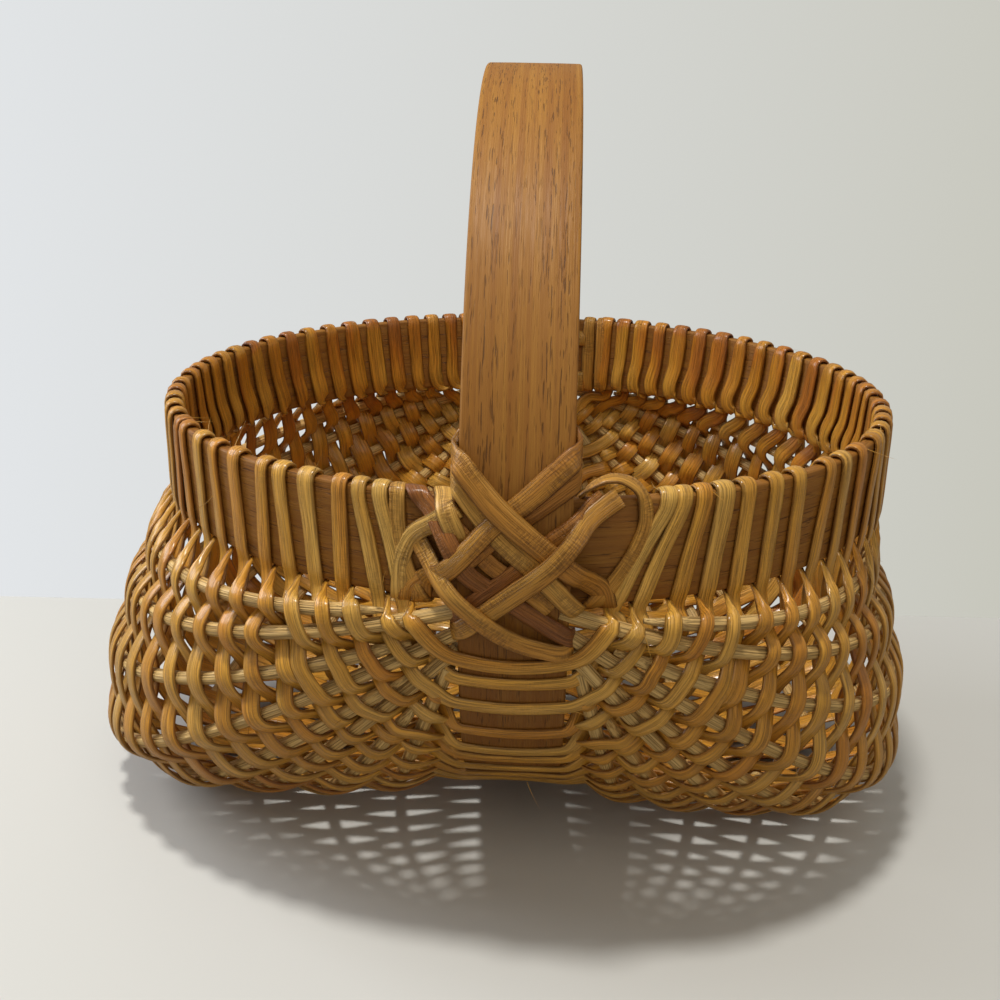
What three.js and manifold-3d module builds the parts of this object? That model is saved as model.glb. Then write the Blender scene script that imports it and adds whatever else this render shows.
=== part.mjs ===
// A ribbed basket with twin bellies, often called a buttocks basket. Two flat oak hoops cross at
// the front and the back: the upright one is handle and keel in one, the level one is the rim.
// Round reed ribs fan out from the two crossings, flat reed is woven over and under them from rim
// to rim and hooks over the rim at each end of a row, and crossed reed lashings bind the hoops.
// Millimetres, +Z up, origin on the table under the middle of the belly, +Y towards the back.
import * as THREE from 'three';
import { mergeVertices } from 'three/addons/utils/BufferGeometryUtils.js';
import Module from 'manifold-3d';

// Driving dimensions
const HOOP_DIAMETER = 254; // outside of the rim hoop, from crossing to crossing
const RIM_WIDTH = 267; // outside of the rim hoop across the bellies, which spread it into an oval
const HOOP_WIDTH = 33;
const HOOP_THICKNESS = 4;
const HOOP_SEGMENTS = 48;
const HOOP_SHIFT = 8; // the hoops stand this far right of the belly's middle
const RIM_HEIGHT = 144.5; // middle of the rim band above the table
const BELLY_WIDTH = 315; // across the outermost ribs
const RIB_DIAMETER = 4.6;
const RIBS_PER_SIDE = 8;
const RIB_STEPS = 28;
const RIB_SIDES = 6;
const FIRST_SEAT = 7.2; // degrees below the rim, where the first rib leaves the keel
const SEAT_STEP = 2; // degrees along the keel from one rib to the next
const SEAT_GAP = 3.5; // between a rib and the keel's edge
const WEAVER_ROWS = 26; // each strip stands for two or three rows of the real reed
const WEAVER_COVER = 0.8; // width of a strip as a share of the space between rows
const WEAVER_THICKNESS = 1.5;
const WEAVER_START = 32; // distance from a crossing to the edge of the first row
const LASHING_WIDTH = 6;
const LASHING_THICKNESS = 1.5;
const CLEARANCE = 0.7; // between the reed and what it wraps
const HOOP_GAP = 0.3; // between the two hoops
const TABLE_TRIM = 0.4; // depth worn off the weave where it stands
const OUTLINE_STEPS = 24;
const CENTRE_SHARE = 0.6; // height inside the basket, as a share of the rim's, that all walls face

// Outline of one belly from the rim down to the keel, as shares of half its width and of the
// height from its floor to the rim's lower edge
const BELLY_OUTLINE = [
  [0.815, 1.0],
  [0.885, 0.84],
  [0.952, 0.6],
  [0.993, 0.37],
  [0.995, 0.18],
  [0.915, 0.04],
  [0.73, 0.0],
  [0.44, 0.0],
  [0.2, 0.05],
];

const OAK = { color: 0xb08044, roughness: 0.45, metalness: 0 };
const RIB_REED = { color: 0xc8a569, roughness: 0.6, metalness: 0 };
const WEAVER_REED = { color: 0xbe8c46, roughness: 0.5, metalness: 0 };
const LASHING_REED = { color: 0xb98a4c, roughness: 0.5, metalness: 0 };

const RIM_OUTER = HOOP_DIAMETER / 2;
const RIM_INNER = RIM_OUTER - HOOP_THICKNESS;
const RIM_STRETCH = RIM_WIDTH / HOOP_DIAMETER;
const RIM_BOTTOM = RIM_HEIGHT - HOOP_WIDTH / 2;
const RIM_TOP = RIM_HEIGHT + HOOP_WIDTH / 2;
const FACET_SHRINK = Math.cos(Math.PI / HOOP_SEGMENTS);
const HANDLE_INNER = Math.hypot(RIM_OUTER + HOOP_GAP, HOOP_WIDTH / 2) / FACET_SHRINK;
const HANDLE_OUTER = HANDLE_INNER + HOOP_THICKNESS;
const KEEL_RADIUS = (HANDLE_INNER + HANDLE_OUTER) / 2;
const RIB_RADIUS = RIB_DIAMETER / 2;
const BELLY_CENTRE = new THREE.Vector3(0, 0, RIM_HEIGHT * CENTRE_SHARE);
const BEZIER_ROUND = 0.5523; // handle length that makes a cubic curve a quarter of an ellipse
const STEEPEST = 0.95; // sine of the steepest run of a strip from one rib to the next

const wasm = await Module();
wasm.setup();

const basket = new THREE.Group();
basket.name = 'buttocks_basket';

function addPiece(name, geometry, finish) {
  const mesh = new THREE.Mesh(geometry, new THREE.MeshStandardMaterial(finish));
  mesh.name = name;
  basket.add(mesh);
  return mesh;
}

// Hoops

function hoopGeometry(inner, outer) {
  const half = HOOP_WIDTH / 2;
  const section = [
    [inner, -half],
    [outer, -half],
    [outer, half],
    [inner, half],
    [inner, -half],
  ];
  const profile = section.map(([radius, height]) => new THREE.Vector2(radius, height));
  const facetTurn = Math.PI / HOOP_SEGMENTS;
  return new THREE.LatheGeometry(profile, HOOP_SEGMENTS, facetTurn);
}

const rimHoop = addPiece('rim_hoop', hoopGeometry(RIM_INNER, RIM_OUTER), OAK);
rimHoop.rotation.x = Math.PI / 2;
rimHoop.scale.x = RIM_STRETCH;
rimHoop.position.set(HOOP_SHIFT, 0, RIM_HEIGHT);

const handleHoop = addPiece('handle_hoop', hoopGeometry(HANDLE_INNER, HANDLE_OUTER), OAK);
handleHoop.rotation.z = Math.PI / 2;
handleHoop.position.set(HOOP_SHIFT, 0, RIM_HEIGHT);

// Ribs

const RIB_WRAP = RIB_RADIUS + CLEARANCE + WEAVER_THICKNESS / 2; // a strip's middle round a rib
const KEEL_WRAP = HOOP_THICKNESS / 2 + CLEARANCE + WEAVER_THICKNESS / 2;

const bellyShares = new THREE.SplineCurve(BELLY_OUTLINE.map(([x, z]) => new THREE.Vector2(x, z)));
const BELLY_FLOOR = RIB_WRAP + WEAVER_THICKNESS / 2 - TABLE_TRIM;
const bellyOutline = new THREE.SplineCurve(
  bellyShares.getPoints(OUTLINE_STEPS).map(
    (share) => new THREE.Vector2(
      (share.x * BELLY_WIDTH) / 2,
      BELLY_FLOOR + share.y * (RIM_BOTTOM - BELLY_FLOOR),
    ),
  ),
);

// A rib leaves its seat beside the keel, swells out to the belly's outline halfway and returns
class RibCurve extends THREE.Curve {
  constructor(side, number) {
    super();
    const angle = THREE.MathUtils.degToRad(FIRST_SEAT + (number - 1) * SEAT_STEP);
    const seatX = HOOP_WIDTH / 2 + RIB_RADIUS + SEAT_GAP;
    const seatZ = RIM_HEIGHT - KEEL_RADIUS * Math.sin(angle);
    const seat = new THREE.Vector3(HOOP_SHIFT + side * seatX, -KEEL_RADIUS * Math.cos(angle), seatZ);
    const belly = bellyOutline.getPointAt((number - 0.5) / RIBS_PER_SIDE);
    const lean = HOOP_SHIFT * (1 - (2 * belly.x) / BELLY_WIDTH);
    const middle = new THREE.Vector3(side * belly.x + lean, 0, belly.y);
    const drop = (seatZ - middle.z) * BEZIER_ROUND;
    const leave = seat.clone();
    leave.x += (middle.x - seat.x) * BEZIER_ROUND;
    leave.y += drop * Math.sin(angle);
    leave.z -= drop * Math.cos(angle);
    const arrive = middle.clone();
    arrive.y = seat.y * BEZIER_ROUND;
    this.front = new THREE.CubicBezierCurve3(seat, leave, arrive, middle);
    this.span = this.getLength();
    this.seatDistance = angle * KEEL_RADIUS;
  }

  getPoint(t, target = new THREE.Vector3()) {
    this.front.getPoint(t < 0.5 ? 2 * t : 2 - 2 * t, target);
    if (t > 0.5) {
      target.y = -target.y;
    }
    return target;
  }
}

// The stretch of a rib between the rows where its two ends are tucked in
class RibStretch extends THREE.Curve {
  constructor(rib, start) {
    super();
    this.rib = rib;
    this.start = start;
  }

  getPoint(t, target = new THREE.Vector3()) {
    return this.rib.getPointAt(this.start + t * (1 - 2 * this.start), target);
  }
}

// Distance of a row from the front crossing, along a path of this length from crossing to crossing
function rowDistance(length, share) {
  return WEAVER_START + share * (length - 2 * WEAVER_START);
}

// A row's place along a rib, as a share of the rib's own span
function shareAlongRib(rib, share) {
  const distance = rowDistance(rib.span + 2 * rib.seatDistance, share);
  return (distance - rib.seatDistance) / rib.span;
}

// Every second rib is slipped in beside its neighbour once there is room for it
function firstRow(number) {
  return number % 2 === 0 ? number / 2 + 1 : (number + 5) / 2;
}

function ribSection() {
  const corners = [];
  for (let side = 0; side < RIB_SIDES; side += 1) {
    const angle = (2 * Math.PI * side) / RIB_SIDES;
    corners.push(new THREE.Vector2(RIB_RADIUS * Math.cos(angle), RIB_RADIUS * Math.sin(angle)));
  }
  return new THREE.Shape(corners);
}

const ribs = { left: [], right: [] };
for (const [sideName, side] of [['left', -1], ['right', 1]]) {
  for (let number = 1; number <= RIBS_PER_SIDE; number += 1) {
    const rib = new RibCurve(side, number);
    rib.start = shareAlongRib(rib, (firstRow(number) - 1) / WEAVER_ROWS);
    ribs[sideName].push(rib);
    const tube = new THREE.ExtrudeGeometry(ribSection(), {
      steps: RIB_STEPS,
      extrudePath: new RibStretch(rib, rib.start),
    });
    addPiece(`rib_${sideName}_${number}`, tube, RIB_REED);
  }
}

// Flat reed

// A flat strip along a run of stations, each a point with its half width as a vector. The mitred
// normals keep the thickness even round each bend.
function stripGeometry(stations, thickness, closed = false) {
  const count = stations.length;
  const segments = closed ? count : count - 1;
  const normals = [];
  for (let k = 0; k < segments; k += 1) {
    const from = stations[k];
    const to = stations[(k + 1) % count];
    const run = to.point.clone().sub(from.point);
    const across = from.across.clone().add(to.across);
    normals.push(run.cross(across).normalize());
  }
  const positions = [];
  for (let k = 0; k < count; k += 1) {
    const before = normals[closed ? (k + segments - 1) % segments : Math.max(k - 1, 0)];
    const after = normals[Math.min(k, segments - 1)];
    const mitre = before.clone().add(after).multiplyScalar(thickness / 2 / (1 + before.dot(after)));
    const { point, across } = stations[k];
    for (const [wide, thick] of [[1, 1], [-1, 1], [-1, -1], [1, -1]]) {
      const corner = point.clone().addScaledVector(across, wide).addScaledVector(mitre, thick);
      positions.push(corner.x, corner.y, corner.z);
    }
  }
  const index = [];
  for (let k = 0; k < segments; k += 1) {
    for (let corner = 0; corner < 4; corner += 1) {
      const next = (corner + 1) % 4;
      const here = 4 * k;
      const there = 4 * ((k + 1) % count);
      index.push(here + corner, here + next, there + next);
      index.push(here + corner, there + next, there + corner);
    }
  }
  if (!closed) {
    const end = 4 * (count - 1);
    index.push(0, 2, 1, 0, 3, 2);
    index.push(end, end + 1, end + 2, end, end + 2, end + 3);
  }
  const geometry = new THREE.BufferGeometry();
  geometry.setAttribute('position', new THREE.Float32BufferAttribute(positions, 3));
  geometry.setIndex(index);
  return geometry;
}

function solidFrom(geometry) {
  const bare = geometry.clone();
  bare.deleteAttribute('normal');
  bare.deleteAttribute('uv');
  const merged = mergeVertices(bare);
  return new wasm.Manifold(new wasm.Mesh({
    numProp: 3,
    vertProperties: merged.attributes.position.array,
    triVerts: new Uint32Array(merged.index.array),
  }));
}

// Wears a strip flat where it would reach through the table, which lies under the bellies, or
// under the keel where that hangs lower
function trimmedToTable(geometry) {
  const keelBottom = RIM_HEIGHT - KEEL_RADIUS - KEEL_WRAP - WEAVER_THICKNESS / 2;
  const tableHeight = Math.min(0, keelBottom + TABLE_TRIM);
  geometry.computeBoundingBox();
  if (geometry.boundingBox.min.z >= tableHeight) {
    return geometry;
  }
  const table = new THREE.BoxGeometry(2 * BELLY_WIDTH, 2 * BELLY_WIDTH, HOOP_WIDTH);
  table.translate(0, 0, tableHeight - HOOP_WIDTH / 2);
  const worn = solidFrom(geometry).subtract(solidFrom(table)).getMesh();
  const result = new THREE.BufferGeometry();
  result.setAttribute('position', new THREE.BufferAttribute(new Float32Array(worn.vertProperties), 3));
  result.setIndex(new THREE.BufferAttribute(new Uint32Array(worn.triVerts), 1));
  return result;
}

// The hook of a row over the rim: up one face, over the top edge and down the other
function rimHook(side, share, firstFace) {
  const length = Math.PI * RIM_OUTER;
  const angle = rowDistance(length, share) / RIM_OUTER;
  const halfWidth = (WEAVER_COVER * (length - 2 * WEAVER_START)) / WEAVER_ROWS / 2;
  const outward = new THREE.Vector3(side * Math.sin(angle), -Math.cos(angle), 0);
  const across = new THREE.Vector3(side * RIM_STRETCH * Math.cos(angle), Math.sin(angle), 0);
  across.setLength(halfWidth);
  const stand = CLEARANCE + WEAVER_THICKNESS / 2;
  const middle = (RIM_OUTER + RIM_INNER) / 2;
  const offset = firstFace * (HOOP_THICKNESS / 2 + stand);
  const first = middle + offset;
  const last = middle - offset;
  const path = [
    [first, RIM_BOTTOM - stand],
    [first, RIM_TOP + stand],
    [last, RIM_TOP + stand],
    [last, RIM_BOTTOM + stand],
  ];
  return path.map(([radius, z]) => {
    const point = outward.clone().multiplyScalar(radius);
    point.x = HOOP_SHIFT + RIM_STRETCH * point.x;
    point.z = z;
    return { point, across, wrap: 0, face: firstFace };
  });
}

function ribSupports(sideName, share, row) {
  const supports = [];
  const fromEnd = Math.min(row, WEAVER_ROWS + 1 - row);
  ribs[sideName].forEach((rib, index) => {
    if (fromEnd >= firstRow(index + 1)) {
      const place = shareAlongRib(rib, share);
      const pitch = (rib.span + 2 * rib.seatDistance - 2 * WEAVER_START) / WEAVER_ROWS;
      supports.push({
        point: rib.getPointAt(place),
        across: rib.getTangentAt(place).setLength((WEAVER_COVER * pitch) / 2),
        wrap: RIB_WRAP,
      });
    }
  });
  return supports;
}

function keelSupport(side, share) {
  const length = Math.PI * KEEL_RADIUS;
  const angle = rowDistance(length, share) / KEEL_RADIUS;
  const pitch = (length - 2 * WEAVER_START) / WEAVER_ROWS;
  return {
    point: new THREE.Vector3(
      HOOP_SHIFT + side * (HOOP_WIDTH / 2),
      -KEEL_RADIUS * Math.cos(angle),
      RIM_HEIGHT - KEEL_RADIUS * Math.sin(angle),
    ),
    across: new THREE.Vector3(0, Math.sin(angle), -Math.cos(angle)).setLength((WEAVER_COVER * pitch) / 2),
    wrap: KEEL_WRAP,
  };
}

// Outward normal of the straight, taut run of a strip between two supports, which it touches at
// its wrap distance on the side given by the sign of their face
function tautNormal(from, to) {
  const run = to.point.clone().sub(from.point);
  const spacing = run.length();
  run.normalize();
  const outward = run.clone().cross(from.across.clone().add(to.across)).normalize();
  const between = from.point.clone().add(to.point).divideScalar(2);
  if (outward.dot(between.sub(BELLY_CENTRE)) < 0) {
    outward.negate();
  }
  const turn = (from.face * from.wrap - to.face * to.wrap) / spacing;
  const slope = THREE.MathUtils.clamp(turn, -STEEPEST, STEEPEST);
  return outward.multiplyScalar(Math.sqrt(1 - slope ** 2)).addScaledVector(run, slope);
}

// One row from rim to rim: outside one rib, inside the next, with the keel taken as one wide rib
function weaverStations(row) {
  const share = (row - 0.5) / WEAVER_ROWS;
  const rimFace = row % 2 === 0 ? 1 : -1;
  const leftHook = rimHook(-1, share, rimFace).reverse();
  const rightHook = rimHook(1, share, rimFace);
  const left = ribSupports('left', share, row);
  const right = ribSupports('right', share, row).reverse();
  const keel = [keelSupport(-1, share), keelSupport(1, share)];
  left.forEach((support, index) => {
    support.face = index % 2 === 0 ? -rimFace : rimFace;
  });
  right.forEach((support, index) => {
    support.face = left[left.length - 1 - index].face;
  });
  keel.forEach((support) => {
    support.face = left.length % 2 === 0 ? -rimFace : rimFace;
  });
  const supports = [leftHook.at(-1), ...left, ...keel, ...right, rightHook[0]];
  const normals = supports.slice(1).map((support, index) => tautNormal(supports[index], support));
  const woven = supports.slice(1, -1).map((support, index) => {
    const before = normals[index];
    const after = normals[index + 1];
    const reach = (support.face * support.wrap) / (1 + before.dot(after));
    return {
      point: support.point.clone().addScaledVector(before.clone().add(after), reach),
      across: support.across,
    };
  });
  return [...leftHook, ...woven, ...rightHook];
}

for (let row = 1; row <= WEAVER_ROWS; row += 1) {
  const strip = stripGeometry(weaverStations(row), WEAVER_THICKNESS);
  addPiece(`weaver_${String(row).padStart(2, '0')}`, trimmedToTable(strip), WEAVER_REED);
}

// Lashings

// One turn of reed tied slantwise round a crossing of the hoops: across the face of the handle,
// through the open corner, across the inside of the rim and back through the opposite corner
function lashingStations(end, slant, lane, layer) {
  const along = new THREE.Vector3(slant, 0, -1).normalize();
  const across = new THREE.Vector3(slant, 0, 1).setLength(LASHING_WIDTH / 2);
  const laneOffset = across.clone().multiplyScalar(lane * (1 + CLEARANCE / LASHING_WIDTH));
  const stand = CLEARANCE + LASHING_THICKNESS / 2 + layer * (LASHING_THICKNESS + HOOP_GAP);
  const reach = HOOP_WIDTH / Math.SQRT2 + LASHING_WIDTH + 2 * CLEARANCE + LASHING_THICKNESS / 2;
  const widest = reach / Math.SQRT2;
  const face = HANDLE_OUTER + stand;
  const inside = Math.sqrt((RIM_INNER * FACET_SHRINK) ** 2 - widest ** 2) - stand;
  const path = [[-reach, face], [reach, face], [reach, inside], [-reach, inside]];
  return path.map(([distance, depth]) => ({
    point: new THREE.Vector3(HOOP_SHIFT, end * depth, RIM_HEIGHT)
      .addScaledVector(along, distance)
      .add(laneOffset),
    across,
  }));
}

for (const [endName, end] of [['front', -1], ['back', 1]]) {
  let turn = 1;
  for (const [layer, slant] of [[0, 1], [1, -1]]) {
    for (const lane of [-1, 1]) {
      const loop = stripGeometry(lashingStations(end, slant, lane, layer), LASHING_THICKNESS, true);
      addPiece(`lashing_${endName}_${turn}`, loop, LASHING_REED);
      turn += 1;
    }
  }
}

export default basket;
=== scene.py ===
# %% [markdown]
# # A buttocks basket
# This basket is two flat oak hoops, a fan of round reed ribs and one long flat reed that weaves
# over and under the ribs from rim to rim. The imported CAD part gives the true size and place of
# every piece. Here each piece is made again with the shape and finish that the eye expects:
# rounded reed, twisted turns under the rim, open oak grain. All sizes below are in millimetres
# and are turned into metres only when a mesh is made.

# %% Load the frame
import math
import bpy
import numpy as np
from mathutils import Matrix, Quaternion, Vector


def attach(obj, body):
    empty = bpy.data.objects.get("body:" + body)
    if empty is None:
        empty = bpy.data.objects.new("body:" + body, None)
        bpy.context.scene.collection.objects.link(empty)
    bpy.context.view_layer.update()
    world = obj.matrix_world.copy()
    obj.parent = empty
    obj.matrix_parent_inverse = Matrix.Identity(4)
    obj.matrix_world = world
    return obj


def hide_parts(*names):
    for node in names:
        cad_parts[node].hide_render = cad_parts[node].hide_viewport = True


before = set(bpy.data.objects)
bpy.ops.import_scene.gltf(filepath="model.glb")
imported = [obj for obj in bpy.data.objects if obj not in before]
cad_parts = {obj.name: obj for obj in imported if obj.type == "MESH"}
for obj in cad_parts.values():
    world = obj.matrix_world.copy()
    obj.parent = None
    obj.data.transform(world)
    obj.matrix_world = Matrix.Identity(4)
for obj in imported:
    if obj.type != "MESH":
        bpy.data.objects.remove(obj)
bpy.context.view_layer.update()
MM = 0.001

# %% [markdown]
# ## Camera
# The basket is seen from in front and a little above, close enough for the near rim to look
# larger than the far one. A 45 mm lens on a 36 mm sensor gives that perspective. The camera is
# placed at a given point and turned by two angles, yaw and pitch, and then rolled by one degree
# because the table edge slopes a little in the picture.

# %% Camera
CAMERA_PLACE = (23.3, -463.6, 284.7)
CAMERA_YAW = -0.0536
CAMERA_PITCH = 0.3524
CAMERA_ROLL = math.radians(1.0)

camera_data = bpy.data.cameras.new("front_camera")
camera_data.sensor_width = 36.0
camera_data.lens = 45.0
camera_data.clip_start = 0.02
camera_data.clip_end = 50.0
camera = bpy.data.objects.new("front_camera", camera_data)
bpy.context.scene.collection.objects.link(camera)
look = Vector((
    math.sin(CAMERA_YAW) * math.cos(CAMERA_PITCH),
    math.cos(CAMERA_YAW) * math.cos(CAMERA_PITCH),
    -math.sin(CAMERA_PITCH),
))
camera.location = Vector(CAMERA_PLACE) * MM
camera.rotation_mode = "QUATERNION"
roll = Quaternion((0, 0, 1), CAMERA_ROLL)
camera.rotation_quaternion = look.to_track_quat("-Z", "Y") @ roll
bpy.context.scene.camera = camera
bpy.context.scene.view_settings.view_transform = "Standard"
print("camera at", [round(v, 4) for v in camera.location])

# %% [markdown]
# ## Floor, wall and light
# A pale table and a pale wall close behind it. The wall is only a card that the camera sees from
# its front: it takes no part in the lighting, so the back of the basket is lit as well as the
# front. The table is pale to the camera but throws back less light than such a table would, which
# keeps the gaps of the weave dark. One small lamp high on the left throws the shadow with its dots
# of light through the weave. A wide cool lamp on the left does the work of a window, a wide warm
# one in front stands for the rest of the room, and the world fills what is left.

# %% Colours are written as they look on screen
def paint(red, green, blue):
    """A screen colour from 0 to 255 as the linear colour that shaders use."""
    linear = []
    for value in (red, green, blue):
        share = value / 255
        linear.append(share / 12.92 if share <= 0.04045 else ((share + 0.055) / 1.055) ** 2.4)
    return (*linear, 1.0)


def card(name, corners):
    """A flat four-cornered sheet for the stage, given in millimetres."""
    mesh = bpy.data.meshes.new(name)
    mesh.from_pydata([Vector(c) * MM for c in corners], [], [(0, 1, 2, 3)])
    sheet = bpy.data.objects.new(name, mesh)
    bpy.context.scene.collection.objects.link(sheet)
    return sheet


# %% Node helpers
def plug(tree, made, inputs):
    """Set each named or numbered input of a node, or link it where the value is a socket."""
    for label, value in inputs.items():
        if isinstance(value, bpy.types.NodeSocket):
            tree.links.new(value, made.inputs[label])
        else:
            made.inputs[label].default_value = value


def node(tree, kind, inputs=None, **settings):
    made = tree.nodes.new(kind)
    for key, value in settings.items():
        setattr(made, key, value)
    plug(tree, made, inputs or {})
    return made


def blend(tree, factor, first, second):
    """Mix two colours by a factor."""
    inputs = {"Factor": factor, "A": first, "B": second}
    return node(tree, "ShaderNodeMix", inputs, data_type="RGBA").outputs["Result"]


def ramp(tree, value, stops):
    made = node(tree, "ShaderNodeValToRGB", {"Fac": value})
    elements = made.color_ramp.elements
    while len(elements) < len(stops):
        elements.new(0.5)
    for element, (place, colour) in zip(elements, stops):
        element.position = place
        element.color = colour
    return made.outputs["Color"]


# %% Floor
FLOOR_REACH = 4000
floor = card("floor", [
    (-FLOOR_REACH, -FLOOR_REACH, 0),
    (FLOOR_REACH, -FLOOR_REACH, 0),
    (FLOOR_REACH, FLOOR_REACH, 0),
    (-FLOOR_REACH, FLOOR_REACH, 0),
])
floor_paint = bpy.data.materials.new("pale_table")
floor_paint.use_nodes = True
floor_tree = floor_paint.node_tree
floor_seen = node(floor_tree, "ShaderNodeLightPath").outputs["Is Camera Ray"]
plug(floor_tree, floor_tree.nodes["Principled BSDF"], {
    "Base Color": blend(floor_tree, floor_seen, paint(150, 142, 128), paint(208, 209, 206)),
    "Roughness": 0.55,
})
floor.data.materials.append(floor_paint)
print("floor:", floor_paint.name)

# %% Wall card, seen from the front only
WALL_DISTANCE = 144
WALL_HEIGHT = 3000
WALL_SLOPE = 0.043  # the wall stands a little askew to the table
WALL_FADE = 300  # painted light: lighter and cooler on the left, where the window falls, duller and warmer on the right; the change runs this far to either side
wall_skew = WALL_SLOPE * FLOOR_REACH
wall = card("wall", [
    (-FLOOR_REACH, WALL_DISTANCE - wall_skew, 0),
    (FLOOR_REACH, WALL_DISTANCE + wall_skew, 0),
    (FLOOR_REACH, WALL_DISTANCE + wall_skew, WALL_HEIGHT),
    (-FLOOR_REACH, WALL_DISTANCE - wall_skew, WALL_HEIGHT),
])
for ray in ("diffuse", "glossy", "transmission", "volume_scatter", "shadow"):
    setattr(wall, "visible_" + ray, False)
wall_paint = bpy.data.materials.new("pale_wall")
wall_paint.use_nodes = True
wall_tree = wall_paint.node_tree
wall_tree.nodes.clear()
wall_side = node(wall_tree, "ShaderNodeNewGeometry").outputs
wall_split = node(wall_tree, "ShaderNodeSeparateXYZ", {0: wall_side["Position"]})
wall_fade = node(wall_tree, "ShaderNodeMapRange", {
    "Value": wall_split.outputs["X"], "From Min": -WALL_FADE * MM, "From Max": WALL_FADE * MM,
})
# painted light: the glowing wall card is lighter and cooler on the left, where the window light
# falls
wall_colour = ramp(wall_tree, wall_fade.outputs["Result"],
                   [(0.0, paint(228, 231, 234)), (1.0, paint(197, 196, 184))])
wall_glow = node(wall_tree, "ShaderNodeEmission", {"Color": wall_colour})
wall_clear = node(wall_tree, "ShaderNodeBsdfTransparent")
wall_mix = node(wall_tree, "ShaderNodeMixShader", {
    "Fac": wall_side["Backfacing"], 1: wall_glow.outputs[0], 2: wall_clear.outputs[0],
})
node(wall_tree, "ShaderNodeOutputMaterial", {"Surface": wall_mix.outputs[0]})
wall.data.materials.append(wall_paint)
print("wall:", wall_paint.name)

# %% Lamps and world
def lamp(name, place, aim, size, watts, colour):
    data = bpy.data.lights.new(name, "AREA")
    data.shape = "DISK"
    data.size = size * MM
    data.energy = watts
    data.color = colour[:3]
    made = bpy.data.objects.new(name, data)
    made.location = Vector(place) * MM
    made.rotation_mode = "QUATERNION"
    made.rotation_quaternion = (Vector(aim) - Vector(place)).to_track_quat("-Z", "Y")
    bpy.context.scene.collection.objects.link(made)


lamp("ceiling_lamp", (-195, -270, 1700), (0, 0, 80), 190, 16.5, paint(255, 251, 244))
lamp("window", (-1100, 200, 700), (-100, 0, 60), 800, 9.5, paint(244, 248, 255))
lamp("room_front", (600, -1300, 1400), (0, 0, 60), 1200, 4.5, paint(255, 242, 218))

world = bpy.data.worlds.new("soft_room")
world.use_nodes = True
plug(world.node_tree, world.node_tree.nodes["Background"], {
    "Color": paint(248, 244, 236), "Strength": 0.32,
})
bpy.context.scene.world = world
print("lamps:", [light.name for light in bpy.data.lights])

# %% [markdown]
# ## Sweeping a section along a path
# Everything in the basket is a long thin thing: a bent board, a round rod or a flat reed. So one
# helper serves all: it carries a cross-section along a path. A curve object with a bevel could do
# this too, but it twists by its own rules, and a flat reed must keep its face on the rib. So the
# sweep is told at every step which way the reed's face looks. It also stores on each point how
# far along and across the reed it lies, which the materials read to run their grain, how near it is
# to the reed's edge, and the tone of the strip.

# %% Sweep helper
SEED_SPACING = 1000.0  # keeps the grain of one strip away from the grain of the next


class Bundle:
    """Collects swept strips until they become one mesh object."""

    def __init__(self):
        self.points = []
        self.faces = []
        self.flow = []
        self.tone = []
        self.edge = []

    def add(self, points, flow, tone, edge, faces):
        start = sum(len(p) for p in self.points)
        self.points.append(points)
        self.flow.append(flow)
        self.tone.append(tone)
        self.edge.append(edge)
        self.faces.extend(tuple(start + i for i in face) for face in faces)


def unit(vectors):
    return vectors / np.linalg.norm(vectors, axis=-1, keepdims=True)


def sweep(bundle, path, outward, section, half_width, half_thick, seed, tone):
    """Carries section, a loop of (wide, thick) pairs from -1 to 1, along path. outward gives the
    side to which the section's top faces; sizes and tone are one number or one for each step."""
    path = np.asarray(path, float)
    count = len(path)
    run = unit(np.gradient(path, axis=0))
    up = np.broadcast_to(np.asarray(outward, float), path.shape)
    up = unit(up - run * np.sum(up * run, 1, keepdims=True))
    side = np.cross(up, run)
    wide = np.broadcast_to(np.asarray(half_width, float), (count,))[:, None]
    thick = np.broadcast_to(np.asarray(half_thick, float), (count,))[:, None]
    loop = np.asarray(section, float)
    offset_wide = wide * loop[:, 0]
    offset_thick = thick * loop[:, 1]
    ring = path[:, None] + side[:, None] * offset_wide[..., None]
    ring = ring + up[:, None] * offset_thick[..., None]
    step = np.linalg.norm(np.diff(path, axis=0), axis=1)
    along = np.concatenate([[0.0], np.cumsum(step)])
    flow = np.stack([
        np.broadcast_to(along[:, None], offset_wide.shape),
        offset_wide,
        offset_thick + seed * SEED_SPACING,
    ], -1)
    tones = np.broadcast_to(np.asarray(tone, float), (count,))[:, None]
    tones = np.broadcast_to(tones, offset_wide.shape)
    edges = np.broadcast_to(np.abs(loop[:, 0]), offset_wide.shape)
    size = len(loop)
    faces = []
    for here in range(0, (count - 1) * size, size):
        there = here + size
        for i in range(size):
            j = (i + 1) % size
            faces.append((here + i, here + j, there + j, there + i))
    faces.append(tuple(reversed(range(size))))
    faces.append(tuple(range((count - 1) * size, count * size)))
    bundle.add(ring.reshape(-1, 3), flow.reshape(-1, 3), tones.reshape(-1), edges.reshape(-1),
               faces)


# %% From a bundle to an object in the frame
SETTLE_HEIGHT = 12.0
SETTLE_LIFT = 1.0


def settled(points):
    """Flatten the lowest millimetres a little, so that the bellies stand on the table."""
    low = np.clip(1 - points[:, 2:] / SETTLE_HEIGHT, 0, None)
    return points + SETTLE_LIFT * low**2 * (0, 0, 1)


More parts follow.
